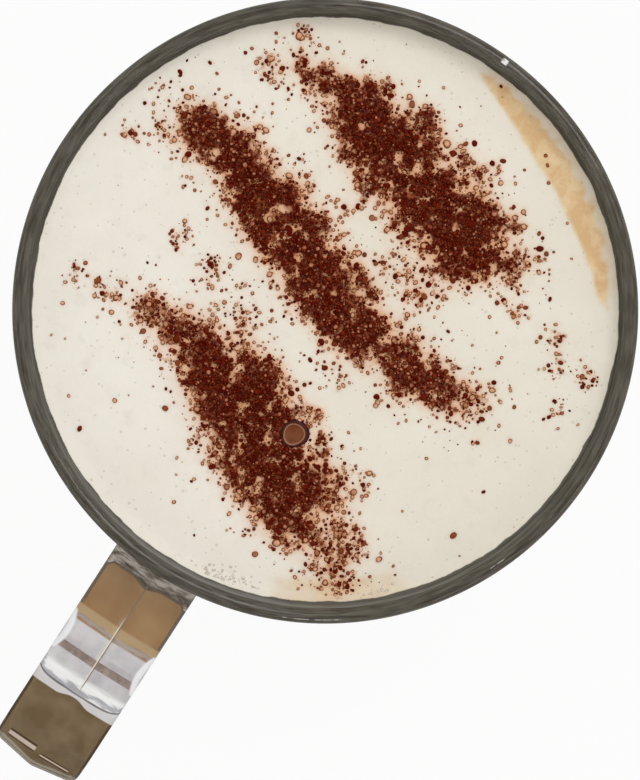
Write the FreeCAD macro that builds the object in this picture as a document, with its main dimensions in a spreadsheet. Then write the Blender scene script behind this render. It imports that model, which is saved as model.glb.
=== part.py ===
"""Foamed coffee in a pressed glass mug, as a parametric FreeCAD document.

Frame: millimetres, +Z up. The origin is where the mug's axis meets the plane that it stands on, and +X points
from the axis to the handle.

Pieces:
  glass_mug  one pressing: a tapered tumbler with a round lip, a heavy base with a flat recess under it, and a
             closed handle. The handle is drafted both ways from the mould's parting plane, y = 0, so that a low
             ridge runs along the middle of its outside and inside, and it flares where it leaves the wall.
  coffee     the milky coffee, from the floor of the mug up to the underside of the foam.
  milk_foam  the foam, which climbs a little where it wets the glass.
"""

import FreeCAD
import Part
import Sketcher

import math
import os

PARTS_FOLDER = "parts"

# Driving dimensions in millimetres and degrees: alias, value, meaning.
DIMENSIONS = (
    ("rim_diameter", 80.0, "outside of the wall carried up to the lip's top"),
    ("foot_diameter", 66.0, "outside of the wall carried down to the standing plane"),
    ("mug_height", 92.0, "standing plane to the top of the lip"),
    ("lip_thickness", 1.9, "wall at the lip, its rounding left out"),
    ("lip_rounding", 0.9, "each edge of the lip"),
    ("wall_thickness", 3.4, "wall at the level of the floor"),
    ("base_thickness", 8.0, "standing plane to the floor inside"),
    ("heel_radius", 7.0, "outside, between the foot and the wall"),
    ("floor_radius", 8.0, "inside, between the floor and the wall"),
    ("recess_diameter", 42.0, "flat recess under the base, at its edge"),
    ("recess_depth", 1.2, "standing plane to the recess"),
    ("recess_step", 1.5, "width of the slope round the recess"),
    ("recess_rounding", 0.6, "top and bottom of that slope"),
    ("handle_width", 12.6, "between the flat sides"),
    ("draft_angle", 10.6, "fall of each facet from the ridge to a side"),
    ("handle_drop", 13.0, "lip to the top of the handle"),
    ("strap_thickness", 7.6, "upper and lower strap, at the ridges"),
    ("grip_thickness", 9.8, "upright grip, at the ridges"),
    ("finger_gap", 24.3, "wall to the inside of the grip"),
    ("handle_foot", 14.0, "standing plane to where the lower flare starts"),
    ("lower_strap_angle", 25.0, "climb of the lower strap from the wall"),
    ("upper_bend", 3.5, "outside of the bend above the grip"),
    ("lower_bend", 13.0, "outside of the bend below the grip"),
    ("upper_inner_bend", 5.8, "inside of the bend above the grip"),
    ("lower_inner_bend", 8.0, "inside of the bend below the grip"),
    ("top_flare", 4.5, "flare between the top of the handle and the wall"),
    ("root_flare", 3.0, "the other three flares"),
    ("root_sink", 0.3, "how far a flare's tangent lies inside the wall"),
    ("root_run", 3.0, "straight stretch inside the wall behind a flare"),
    ("root_depth", 4.8, "how deep the handle's ends go before the cavity trims them"),
    ("ridge_rounding", 1.5, "both ridges"),
    ("edge_rounding", 1.5, "edges of the handle's flat sides"),
    ("root_rounding", 1.2, "seam between the handle and the wall"),
    ("headspace", 4.5, "lip down to the level part of the foam"),
    ("foam_depth", 17.0, "level part of the foam down to the coffee"),
    ("foam_climb", 0.9, "how far the foam climbs the glass"),
    ("foam_climb_angle", 45.0, "slope of the foam where it climbs"),
    ("foam_climb_rounding", 1.8, "between that slope and the level part"),
    ("fill_clearance", 0.05, "gap between what fills the mug and the glass"),
)

CUT_MARGIN = 1.0  # how far a cut runs on past the lip
SURFACE_TOLERANCE = 1e-3  # a point this close to a face lies on it
WALL_BAND = 0.9  # handle edges further inside the wall than this keep their sharp edge

# Expressions that several sketches share.
RIM_RADIUS = "dimensions.rim_diameter / 2"
FOOT_RADIUS = "dimensions.foot_diameter / 2"
WALL_SLOPE = "(dimensions.rim_diameter - dimensions.foot_diameter) / 2 / dimensions.mug_height"
CAVITY_TOP_RADIUS = "dimensions.rim_diameter / 2 - dimensions.lip_thickness"
CAVITY_FLOOR_RADIUS = f"{FOOT_RADIUS} + {WALL_SLOPE} * dimensions.base_thickness - dimensions.wall_thickness"
FOAM_LEVEL = "dimensions.mug_height - dimensions.headspace"
COFFEE_LEVEL = "dimensions.mug_height - dimensions.headspace - dimensions.foam_depth"

ORIGIN = (-1, 1)  # a sketch's own origin, as geometry and point
START, END = 1, 2  # the two ends of a sketch edge


def make_sheet(doc):
    sheet = doc.addObject("Spreadsheet::Sheet", "dimensions")
    for row, (alias, value, meaning) in enumerate(DIMENSIONS, start=1):
        sheet.set(f"A{row}", alias)
        sheet.set(f"B{row}", str(value))
        sheet.set(f"C{row}", meaning)
        sheet.setAlias(f"B{row}", alias)
    doc.recompute()
    return sheet


class Values:
    """The sheet's numbers, read for the starting shape of a sketch and for picking edges."""

    def __init__(self, sheet):
        self.sheet = sheet

    def __getattr__(self, alias):
        return float(self.sheet.get(alias))

    def outer_radius(self, height):
        """Outside of the wall's straight taper at a height."""
        share = height / self.mug_height
        return (self.foot_diameter + (self.rim_diameter - self.foot_diameter) * share) / 2

    def cavity_floor_radius(self):
        return self.outer_radius(self.base_thickness) - self.wall_thickness

    def cavity_top_radius(self):
        return self.rim_diameter / 2 - self.lip_thickness

    def cavity_radius(self, height):
        """Inside of the wall's straight taper at a height."""
        share = (height - self.base_thickness) / (self.mug_height - self.base_thickness)
        return self.cavity_floor_radius() * (1 - share) + self.cavity_top_radius() * share


def point(x, y):
    return FreeCAD.Vector(x, y, 0)


def crossing(p, p_direction, q, q_direction):
    """Where the line through p meets the line through q."""
    turn = p_direction.x * q_direction.y - p_direction.y * q_direction.x
    gap = q - p
    return p + p_direction * ((gap.x * q_direction.y - gap.y * q_direction.x) / turn)


class Outline:
    """A closed sketch of straight sides, numbered by the corner that each starts from, with round corners."""

    def __init__(self, body, name, role, corners):
        """corners is a list of (starting place, radius expression or None, radius)."""
        self.sketch = body.newObject("Sketcher::SketchObject", name)
        plane = next(f for f in body.Origin.OriginFeatures if f.Role == role)
        self.sketch.AttachmentSupport = (plane, [""])
        self.sketch.MapMode = "FlatFace"
        ends = [self._tangent_points(corners, i) for i in range(len(corners))]
        for i, (_, leaves) in enumerate(ends):
            arrives = ends[(i + 1) % len(ends)][0]
            self.sketch.addGeometry(Part.LineSegment(leaves, arrives), False)
        for i, (_, expression, radius) in enumerate(corners):
            if expression is None:
                self.add("Coincident", self.before(i), END, i, START)
            else:
                self._round_corner(i, corners[i][0], ends[i], expression, radius)

    def before(self, corner):
        """The side that arrives at a corner."""
        return corner - 1 if corner else self._side_count() - 1

    def _side_count(self):
        return sum(1 for edge in self.sketch.Geometry if isinstance(edge, Part.LineSegment))

    @staticmethod
    def _tangent_points(corners, i):
        """Where the side before a corner ends and the side after it starts."""
        here, expression, radius = corners[i]
        if expression is None:
            return here, here
        back = (corners[i - 1][0] - here).normalize()
        ahead = (corners[(i + 1) % len(corners)][0] - here).normalize()
        setback = radius / math.tan(back.getAngle(ahead) / 2)
        return here + back * setback, here + ahead * setback

    def _round_corner(self, corner, here, ends, expression, radius):
        arrives, leaves = ends
        inward = ((arrives - here) + (leaves - here)).normalize()
        half = (arrives - here).getAngle(leaves - here) / 2
        middle = here + inward * (radius / math.sin(half) - radius)
        turns_left = (here - arrives).cross(leaves - here).z > 0
        first, last = (arrives, leaves) if turns_left else (leaves, arrives)
        arc = self.sketch.addGeometry(Part.Arc(first, middle, last), False)
        at_arrival, at_leaving = (START, END) if turns_left else (END, START)
        self.add("Tangent", self.before(corner), END, arc, at_arrival)
        self.add("Tangent", arc, at_leaving, corner, START)
        self.size(expression, "Radius", arc, radius)

    def add(self, *what):
        return self.sketch.addConstraint(Sketcher.Constraint(*what))

    def size(self, expression, *what):
        """A dimension that starts at the last of what and follows the expression."""
        name = f"size_{self.add(*what)}"
        self.sketch.renameConstraint(self.sketch.ConstraintCount - 1, name)
        self.sketch.setExpression(f"Constraints.{name}", expression)

    def guide(self, start, end):
        """A construction line between two points, each ((x, its expression), (y, its expression or None))."""
        ends = [point(across[0], up[0]) for across, up in (start, end)]
        line = self.sketch.addGeometry(Part.LineSegment(*ends), True)
        for end_number, (across, up) in ((START, start), (END, end)):
            self.size(across[1], "DistanceX", *ORIGIN, line, end_number, across[0])
            if up[1] is None:
                self.add("PointOnObject", line, end_number, -1)
            else:
                self.size(up[1], "DistanceY", *ORIGIN, line, end_number, up[0])
        return line

    def lies_on(self, side, guide):
        self.add("PointOnObject", side, START, guide)
        self.add("PointOnObject", side, END, guide)

    def clear_of(self, side, guide, v):
        """A side that keeps the fill clearance from a guide."""
        self.add("Parallel", side, guide)
        self.size("dimensions.fill_clearance", "Distance", side, START, guide, v.fill_clearance)

    def on_axis(self, side):
        self.add("PointOnObject", side, START, -2)
        self.add("PointOnObject", side, END, -2)

    def height(self, side, expression, value):
        """A level side, at a height above the standing plane or, with no expression, on it."""
        self.add("Horizontal", side)
        if expression is None:
            self.add("PointOnObject", side, START, -1)
        else:
            self.size(expression, "DistanceY", *ORIGIN, side, START, value)


def outer_wall_guide(outline, v):
    foot = (v.foot_diameter / 2, FOOT_RADIUS), (0, None)
    rim = (v.rim_diameter / 2, RIM_RADIUS), (v.mug_height, "dimensions.mug_height")
    return outline.guide(foot, rim)


def cavity_wall_guide(outline, v):
    floor = (v.cavity_floor_radius(), CAVITY_FLOOR_RADIUS), (v.base_thickness, "dimensions.base_thickness")
    rim = (v.cavity_top_radius(), CAVITY_TOP_RADIUS), (v.mug_height, "dimensions.mug_height")
    return outline.guide(floor, rim)


def revolve(body, outline, kind, name):
    feature = body.newObject(kind, name)
    feature.Profile = outline.sketch
    feature.ReferenceAxis = (outline.sketch, ["V_Axis"])
    feature.Angle = 360
    body.Document.recompute()
    return feature


def fillet(body, base, edges, radius, name):
    """Rounds edges, given as numbers from 0, of the feature base."""
    feature = body.newObject("PartDesign::Fillet", name)
    feature.Base = (base, [f"Edge{number + 1}" for number in edges])
    feature.setExpression("Radius", radius)
    body.Document.recompute()
    return feature


# ---- glass mug ----


def handle_corners(v):
    """The handle's side view at the parting plane: from the lip end inside the wall, round the outside, back into
    the wall at the lower root, and out again round the finger gap."""
    foot = point(v.foot_diameter / 2, 0)
    up = (point(v.rim_diameter / 2, v.mug_height) - foot).normalize()
    out = point(up.y, -up.x)
    level = point(1, 0)
    climb = math.radians(v.lower_strap_angle)
    strap = point(math.cos(climb), math.sin(climb))
    across_strap = point(-strap.y, strap.x)

    sunk_wall = foot - out * v.root_sink
    grip_inside = foot + out * v.finger_gap
    grip_outside = grip_inside + out * v.grip_thickness
    top = point(0, v.mug_height - v.handle_drop)
    underside = top - point(0, v.strap_thickness)
    lower_outside = foot + up * (v.handle_foot + v.root_flare)
    lower_inside = lower_outside + across_strap * v.strap_thickness

    top_root = crossing(sunk_wall, up, top, level)
    top_bend = crossing(grip_outside, up, top, level)
    low_bend = crossing(grip_outside, up, lower_outside, strap)
    low_root = crossing(sunk_wall, up, lower_outside, strap)
    gap_low_root = crossing(sunk_wall, up, lower_inside, strap)
    gap_low_bend = crossing(grip_inside, up, lower_inside, strap)
    gap_top_bend = crossing(grip_inside, up, underside, level)
    gap_top_root = crossing(sunk_wall, up, underside, level)

    inward = out * (v.root_sink - v.root_depth)
    above = up * (v.top_flare + v.root_run)
    beside = up * (v.root_flare + v.root_run)
    beside_sharp = up * (v.root_flare / math.tan(math.radians(90 - v.lower_strap_angle) / 2) + v.root_run)
    top_flare, root_flare = "dimensions.top_flare", "dimensions.root_flare"
    return [
        (top_root + above + inward, None, 0),
        (top_root + above, None, 0),
        (top_root, top_flare, v.top_flare),
        (top_bend, "dimensions.upper_bend", v.upper_bend),
        (low_bend, "dimensions.lower_bend", v.lower_bend),
        (low_root, root_flare, v.root_flare),
        (low_root - beside, None, 0),
        (low_root - beside + inward, None, 0),
        (gap_low_root + beside_sharp + inward, None, 0),
        (gap_low_root + beside_sharp, None, 0),
        (gap_low_root, root_flare, v.root_flare),
        (gap_low_bend, "dimensions.lower_inner_bend", v.lower_inner_bend),
        (gap_top_bend, "dimensions.upper_inner_bend", v.upper_inner_bend),
        (gap_top_root, root_flare, v.root_flare),
        (gap_top_root - beside, None, 0),
        (gap_top_root - beside + inward, None, 0),
    ]


def handle_outline(body, v):
    outline = Outline(body, "handle_outline", "XZ_Plane", handle_corners(v))
    wall = outer_wall_guide(outline, v)
    top, grip_outside, lower_outside = 2, 3, 4
    lower_inside, grip_inside, underside = 10, 11, 12
    buried_runs = (1, 5, 9, 13)
    ends_across = (0, 6, 8, 14)
    inner_ends = (7, 15)

    for side in ends_across:
        outline.add("Perpendicular", side, wall)
    for side in (*buried_runs, *inner_ends, grip_outside, grip_inside):
        outline.add("Parallel", side, wall)
    for side in buried_runs:
        outline.size("dimensions.root_sink", "Distance", side, START, wall, v.root_sink)
        outline.size("dimensions.root_run", "Distance", side, v.root_run)
    for side in inner_ends:
        outline.size("dimensions.root_depth", "Distance", side, START, wall, v.root_depth)

    outline.height(top, "dimensions.mug_height - dimensions.handle_drop", v.mug_height - v.handle_drop)
    outline.add("Horizontal", underside)
    outline.size("dimensions.strap_thickness", "Distance", underside, START, top, v.strap_thickness)
    outline.size("dimensions.finger_gap", "Distance", grip_inside, START, wall, v.finger_gap)
    outline.size("dimensions.grip_thickness", "Distance", grip_outside, START, grip_inside, v.grip_thickness)
    outline.add("Parallel", lower_outside, lower_inside)
    climb = math.radians(v.lower_strap_angle)
    outline.size("dimensions.lower_strap_angle * 1 deg", "Angle", lower_inside, climb)
    outline.size("dimensions.strap_thickness", "Distance", lower_inside, START, lower_outside, v.strap_thickness)
    outline.size("dimensions.handle_foot", "DistanceY", *ORIGIN, buried_runs[1], START, v.handle_foot)
    return outline


def edges_in_plane(shape, v, plane_y):
    """Edges that lie at y = plane_y or -plane_y and stay near or outside the wall, where the handle shows."""
    found = []
    for number, edge in enumerate(shape.Edges):
        box = edge.BoundBox
        flat = box.YLength < SURFACE_TOLERANCE
        if flat and abs(abs(box.Center.y) - plane_y) < SURFACE_TOLERANCE:
            ends = (vertex.Point for vertex in edge.Vertexes)
            if all(p.x > v.outer_radius(p.z) - WALL_BAND for p in ends):
                found.append(number)
    return found


def seam_edges(shape, v):
    """Edges where the handle meets the wall: on the wall's taper and on no other surface of revolution."""
    found = []
    for number, edge in enumerate(shape.Edges):
        middle = edge.valueAt((edge.FirstParameter + edge.LastParameter) / 2)
        radius = math.hypot(middle.x, middle.y)
        on_wall = abs(radius - v.outer_radius(middle.z)) < SURFACE_TOLERANCE
        if on_wall and middle.x > 0 and abs(middle.y) < v.handle_width / 2 + SURFACE_TOLERANCE:
            found.append(number)
    return found


def lip_edges(shape, v):
    """The sharp circle between the lip's top and the cavity."""
    found = []
    for number, edge in enumerate(shape.Edges):
        middle = edge.valueAt((edge.FirstParameter + edge.LastParameter) / 2)
        at_top = abs(middle.z - v.mug_height) < SURFACE_TOLERANCE
        if at_top and abs(math.hypot(middle.x, middle.y) - v.cavity_top_radius()) < SURFACE_TOLERANCE:
            found.append(number)
    return found


def handle(body, v):
    """The handle as the mould makes it: its side view, drafted to both sides of the parting plane."""
    outline = handle_outline(body, v)
    pad = body.newObject("PartDesign::Pad", "handle_draft")
    pad.Profile = outline.sketch
    pad.SideType = "Two sides"
    for length, taper in (("Length", "TaperAngle"), ("Length2", "TaperAngle2")):
        pad.setExpression(length, "dimensions.handle_width / 2")
        pad.setExpression(taper, "-dimensions.draft_angle")
    body.Document.recompute()
    ridges = edges_in_plane(pad.Shape, v, 0)
    ridged = fillet(body, pad, ridges, "dimensions.ridge_rounding", "ridge_fillet")
    sides = edges_in_plane(ridged.Shape, v, v.handle_width / 2)
    return fillet(body, ridged, sides, "dimensions.edge_rounding", "side_fillet")


def tumbler(body, v):
    """The mug's outside as a solid of revolution, with the flat recess under its base."""
    recess = v.recess_diameter / 2
    corners = [
        (point(0, v.recess_depth), None, 0),
        (point(recess - v.recess_step, v.recess_depth), "dimensions.recess_rounding", v.recess_rounding),
        (point(recess, 0), "dimensions.recess_rounding", v.recess_rounding),
        (point(v.foot_diameter / 2, 0), "dimensions.heel_radius", v.heel_radius),
        (point(v.rim_diameter / 2, v.mug_height), "dimensions.lip_rounding", v.lip_rounding),
        (point(0, v.mug_height), None, 0),
    ]
    outline = Outline(body, "tumbler_outline", "YZ_Plane", corners)
    recess_top, step, foot, wall, top, axis = range(6)
    step_foot = (recess, "dimensions.recess_diameter / 2"), (0, None)
    step_head = (
        (recess - v.recess_step, "dimensions.recess_diameter / 2 - dimensions.recess_step"),
        (v.recess_depth, "dimensions.recess_depth"),
    )
    outline.lies_on(step, outline.guide(step_foot, step_head))
    outline.lies_on(wall, outer_wall_guide(outline, v))
    outline.on_axis(axis)
    outline.height(recess_top, "dimensions.recess_depth", v.recess_depth)
    outline.height(foot, None, 0)
    outline.height(top, "dimensions.mug_height", v.mug_height)
    return revolve(body, outline, "PartDesign::Revolution", "tumbler_blank")


def cavity(body, v):
    """Cuts the inside and runs on past the lip."""
    over = v.mug_height + CUT_MARGIN
    corners = [
        (point(0, v.base_thickness), None, 0),
        (point(v.cavity_floor_radius(), v.base_thickness), "dimensions.floor_radius", v.floor_radius),
        (point(v.cavity_radius(over), over), None, 0),
        (point(0, over), None, 0),
    ]
    outline = Outline(body, "cavity_outline", "YZ_Plane", corners)
    floor, wall, top, axis = range(4)
    outline.lies_on(wall, cavity_wall_guide(outline, v))
    outline.on_axis(axis)
    outline.height(floor, "dimensions.base_thickness", v.base_thickness)
    outline.height(top, f"dimensions.mug_height + {CUT_MARGIN}", over)
    return revolve(body, outline, "PartDesign::Groove", "cavity_cut")


def make_glass_mug(doc, v):
    body = doc.addObject("PartDesign::Body", "glass_mug")
    handle(body, v)
    tumbler(body, v)
    cut = cavity(body, v)
    rooted = fillet(body, cut, seam_edges(cut.Shape, v), "dimensions.root_rounding", "root_fillet")
    fillet(body, rooted, lip_edges(rooted.Shape, v), "dimensions.lip_rounding", "lip_fillet")
    return body


# ---- drink ----


def make_coffee(doc, v):
    body = doc.addObject("PartDesign::Body", "coffee")
    bottom = v.base_thickness + v.fill_clearance
    level = v.mug_height - v.headspace - v.foam_depth
    corners = [
        (point(0, bottom), None, 0),
        (point(v.cavity_radius(bottom) - v.fill_clearance, bottom), "dimensions.floor_radius", v.floor_radius),
        (point(v.cavity_radius(level) - v.fill_clearance, level), None, 0),
        (point(0, level), None, 0),
    ]
    outline = Outline(body, "coffee_outline", "YZ_Plane", corners)
    floor, wall, surface, axis = range(4)
    outline.clear_of(wall, cavity_wall_guide(outline, v), v)
    outline.on_axis(axis)
    outline.height(floor, "dimensions.base_thickness + dimensions.fill_clearance", bottom)
    outline.height(surface, COFFEE_LEVEL, level)
    revolve(body, outline, "PartDesign::Revolution", "coffee_revolution")
    return body


def make_milk_foam(doc, v):
    body = doc.addObject("PartDesign::Body", "milk_foam")
    level = v.mug_height - v.headspace
    bottom = level - v.foam_depth
    crest = level + v.foam_climb
    edge = v.cavity_radius(crest) - v.fill_clearance
    climb_foot = edge - v.foam_climb / math.tan(math.radians(v.foam_climb_angle))
    corners = [
        (point(0, bottom), None, 0),
        (point(v.cavity_radius(bottom) - v.fill_clearance, bottom), None, 0),
        (point(edge, crest), None, 0),
        (point(climb_foot, level), "dimensions.foam_climb_rounding", v.foam_climb_rounding),
        (point(0, level), None, 0),
    ]
    outline = Outline(body, "milk_foam_outline", "YZ_Plane", corners)
    underside, wall, climb, surface, axis = range(5)
    outline.clear_of(wall, cavity_wall_guide(outline, v), v)
    outline.on_axis(axis)
    outline.height(underside, COFFEE_LEVEL, bottom)
    outline.height(surface, FOAM_LEVEL, level)
    outline.size(f"{FOAM_LEVEL} + dimensions.foam_climb", "DistanceY", *ORIGIN, climb, START, crest)
    slope = math.radians(180 + v.foam_climb_angle)
    outline.size("180 deg + dimensions.foam_climb_angle * 1 deg", "Angle", climb, slope)
    revolve(body, outline, "PartDesign::Revolution", "milk_foam_revolution")
    return body


def check(doc):
    """Stops the build if any object failed to compute."""
    for item in doc.Objects:
        if "Invalid" in item.State or "Error" in item.State:
            raise RuntimeError(f"{item.Name} did not compute: {item.State}")


def export(body):
    shape = body.Shape
    if shape.isNull() or not shape.isValid() or len(shape.Solids) != 1:
        raise RuntimeError(f"{body.Name} is not one valid solid")
    shape.exportStep(os.path.join(PARTS_FOLDER, f"{body.Name}.step"))


def main():
    doc = FreeCAD.newDocument("foamed_coffee_in_glass_mug")
    v = Values(make_sheet(doc))
    bodies = [make_glass_mug(doc, v), make_coffee(doc, v), make_milk_foam(doc, v)]
    for body in bodies:
        body.Label = body.Name
        body.Placement = FreeCAD.Placement()
    doc.recompute()
    check(doc)
    os.makedirs(PARTS_FOLDER, exist_ok=True)
    for body in bodies:
        export(body)




main()
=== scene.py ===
"""Foamed milk coffee dusted with cocoa, in a clear glass mug, seen from above.

Lengths are in millimetres up to the point where a mesh is made; materials work in metres. Places on the drink
are given as (across, away) from the mug's axis: across to the drinker's right and away from the drinker. The
handle is at lower left.
"""

import math

import bmesh
import bpy
import numpy as np
from mathutils import Matrix, Vector


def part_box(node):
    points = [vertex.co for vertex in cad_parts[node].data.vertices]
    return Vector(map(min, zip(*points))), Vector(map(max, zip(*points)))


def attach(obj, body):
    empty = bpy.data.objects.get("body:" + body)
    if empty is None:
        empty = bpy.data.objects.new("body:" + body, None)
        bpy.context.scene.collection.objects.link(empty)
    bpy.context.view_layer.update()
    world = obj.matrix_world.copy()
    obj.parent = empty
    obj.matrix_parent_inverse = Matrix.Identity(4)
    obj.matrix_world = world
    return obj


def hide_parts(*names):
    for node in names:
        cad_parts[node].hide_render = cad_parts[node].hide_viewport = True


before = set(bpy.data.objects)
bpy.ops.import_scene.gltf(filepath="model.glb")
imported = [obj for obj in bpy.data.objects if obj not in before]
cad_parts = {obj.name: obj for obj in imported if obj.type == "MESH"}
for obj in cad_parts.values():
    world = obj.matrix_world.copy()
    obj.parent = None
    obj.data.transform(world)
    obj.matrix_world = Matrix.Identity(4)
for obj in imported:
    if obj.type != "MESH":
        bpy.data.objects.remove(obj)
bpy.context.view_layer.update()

MM = 0.001
HANDLE_TURN = math.radians(122.9)  # from the drinker's right hand to the handle's +X

# What the mug holds, from the CAD nodes.
_, mug_high = (np.array(corner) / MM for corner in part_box("glass_mug"))
foam_low, foam_high = (np.array(corner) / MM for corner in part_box("milk_foam"))
coffee_low, coffee_high = (np.array(corner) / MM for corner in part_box("coffee"))
RIM_HEIGHT = mug_high[2]
FOAM_CLIMB = 0.9
FOAM_LEVEL = foam_high[2] - FOAM_CLIMB
FOAM_RADIUS = foam_high[1]
FOAM_BOTTOM = foam_low[2]
COFFEE_RADIUS = coffee_high[1]
WALL_LEAN = (FOAM_RADIUS - COFFEE_RADIUS) / (foam_high[2] - coffee_high[2])
INTO_WALL = 0.22  # how far the drink's pieces reach into the glass

# The glass, with the sizes of its CAD node.
RIM_RADIUS, FOOT_RADIUS = 40.0, 33.0
LIP_THICKNESS, LIP_ROUNDING = 1.9, 0.9
FLOOR_HEIGHT, FLOOR_RADIUS, WALL_AT_FLOOR = 8.0, 8.0, 3.4
HEEL_RADIUS = 7.0
RECESS_RADIUS, RECESS_DEPTH, RECESS_STEP, RECESS_ROUNDING = 21.0, 1.2, 1.5, 0.6
HANDLE_WIDTH, HANDLE_DRAFT = 12.6, math.radians(10.6)
HANDLE_DROP, HANDLE_FOOT = 13.0, 14.0
STRAP_THICKNESS, GRIP_THICKNESS = 7.6, 9.8
FINGER_GAP = 24.3
LOWER_STRAP_CLIMB = math.radians(25)
OUTER_BENDS, INNER_BENDS = (3.5, 13.0), (5.8, 8.0)
TOP_FLARE, ROOT_FLARE, ROOT_SINK = 4.5, 3.0, 0.3
RIDGE_ROUNDING, EDGE_ROUNDING = 1.5, 1.5


def srgb(red, green, blue, alpha=1.0):
    """A colour written in 0..255 as the linear values that Blender works in."""
    def linear(value):
        value /= 255
        return value / 12.92 if value <= 0.04045 else ((value + 0.055) / 1.055) ** 2.4
    return (linear(red), linear(green), linear(blue), alpha)


def to_model(across, away):
    """(x, y) in the row frame of places on the drink."""
    turn_cos, turn_sin = math.cos(HANDLE_TURN), math.sin(HANDLE_TURN)
    return across * turn_cos - away * turn_sin, across * turn_sin + away * turn_cos


def from_model(x, y):
    """(across, away) on the drink of places in the row frame."""
    turn_cos, turn_sin = math.cos(HANDLE_TURN), math.sin(HANDLE_TURN)
    return x * turn_cos + y * turn_sin, y * turn_cos - x * turn_sin


def wall_radius(height):
    """Radius of the drink's side where it meets the glass."""
    return FOAM_RADIUS + (height - foam_high[2]) * WALL_LEAN


# ---- smooth random relief ----


class Noise:
    """Smooth random relief over the plane, from -1 to 1, with lumps of a given size."""

    def __init__(self, size, seed, span=90):
        self.size = size
        self.span = span
        cells = int(2 * span / size) + 4
        self.values = np.random.default_rng(seed).uniform(-1, 1, (cells, cells))

    def __call__(self, x, y):
        x = (np.asarray(x) + self.span) / self.size
        y = (np.asarray(y) + self.span) / self.size
        column, row = np.floor(x).astype(int), np.floor(y).astype(int)
        s, t = x - column, y - row
        s, t = s * s * (3 - 2 * s), t * t * (3 - 2 * t)
        corner = self.values
        low = corner[row, column] * (1 - s) + corner[row, column + 1] * s
        high = corner[row + 1, column] * (1 - s) + corner[row + 1, column + 1] * s
        return low * (1 - t) + high * t


def smooth_step(low, high, value):
    share = np.clip((value - low) / (high - low), 0, 1)
    return share * share * (3 - 2 * share)


SWELL = Noise(9.0, 1)
RIPPLE = Noise(2.5, 2)
BAND_CLUMPS = Noise(2.2, 11)
BAND_FRAY = Noise(0.9, 12)
HEAP_LUMPS = Noise(0.9, 13)
HEAP_CRUMBS = Noise(0.45, 14)
CLIMB_WAVES = Noise(3.0, 15)
CLIMB_TEETH = Noise(1.1, 16)
CREMA_EDGE = Noise(3.2, 17)
CREMA_BLOTCHES = Noise(1.1, 18)
COCOA_HOLES = Noise(1.2, 19)


# ---- where the cocoa lies ----

# Each band is a line of stations: across, away, half its width, how closely it is covered.
BANDS = (
    ((-2.5, 31, 1.7, 0.9), (0, 28.5, 2.2, 0.8), (5, 25.5, 4, 0.95), (9, 21, 5.6, 1), (13.5, 15.5, 5.6, 1),
     (17, 11, 5.6, 1), (20, 8, 4.4, 0.95), (24.5, 6.5, 1.8, 0.8)),
    ((-17.5, 25.5, 1.6, 0.6), (-15.5, 23.5, 2.7, 0.85), (-12.5, 20.5, 4, 0.9), (-10, 17, 3.5, 1),
     (-4.5, 10, 4.2, 1), (-2, 5.5, 3.8, 1), (2, 0.5, 4, 0.95), (5, -2, 3.5, 0.9), (8.5, -5, 3, 0.75),
     (11, -7.5, 3.3, 0.85), (14.5, -10, 2.9, 0.75), (18.5, -11.5, 2, 0.4)),
    ((-22.5, 0, 2, 0.5), (-19, -2.5, 2.6, 0.65), (-15.5, -5.5, 4.2, 0.9), (-12, -10.5, 5.3, 1),
     (-7.5, -17.5, 6, 1), (-5, -21, 5.8, 1), (-4.5, -23.5, 4.5, 0.9), (-4, -26, 3.7, 0.75),
     (-0.5, -28.5, 3.2, 0.5), (1, -30.5, 3.6, 0.5), (1, -33.5, 3.2, 0.35)),
)

# Thin scatterings away from the bands: across, away, radius, how closely covered.
PATCHES = (
    (-21, 28, 2, 0.2), (-20, 23, 3, 0.24), (-18.5, 9.5, 2, 0.24), (-14, 5, 3, 0.22), (-11, 0, 5, 0.15),
    (-7.5, -5.5, 3, 0.12), (-3, 16.5, 3, 0.22), (0.5, 12.5, 3.5, 0.12), (2, 8, 3, 0.14), (12.5, 3.5, 4, 0.24),
    (9, 5.5, 3, 0.2), (28, 7.5, 2, 0.18), (23, 3.5, 3, 0.18), (25, 0, 1.8, 0.2), (29.5, -3, 1.6, 0.34),
    (30, -7, 1.8, 0.28), (33.5, -8.5, 1.8, 0.29), (30, -12.5, 1.8, 0.22), (-32, 5, 2, 0.22),
    (-28, 3, 2.5, 0.2), (-25, 23.5, 1.5, 0.16), (-7, 31, 2.5, 0.28), (-2.5, 35, 1.8, 0.24),
    (3.5, -22, 3, 0.21), (1, -8.5, 2.5, 0.16),
)

BURST_BUBBLE = (-4.0, -15.8)
BURST_RADIUS = 1.45


def band_cover(across, away):
    """How closely the three bands cover places, from 0 to 1, and how far each place lies outside them."""
    wander = 0.34 * BAND_CLUMPS(across, away) + 0.22 * BAND_FRAY(across, away)
    best = np.zeros_like(across)
    outside = np.full_like(across, 99.0)
    for band in BANDS:
        for (ax, ay, a_half, a_cover), (bx, by, b_half, b_cover) in zip(band, band[1:]):
            share = ((across - ax) * (bx - ax) + (away - ay) * (by - ay)) / ((bx - ax) ** 2 + (by - ay) ** 2)
            share = np.clip(share, 0, 1)
            off = np.hypot(across - ax - share * (bx - ax), away - ay - share * (by - ay))
            half = a_half + share * (b_half - a_half)
            cover = a_cover + share * (b_cover - a_cover)
            best = np.maximum(best, cover * (1 - smooth_step(0.4, 1.55, off / half + wander)))
            outside = np.minimum(outside, off - half)
    return best, outside


def from_burst_bubble(across, away):
    return np.hypot(across - BURST_BUBBLE[0], away - BURST_BUBBLE[1])


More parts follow.
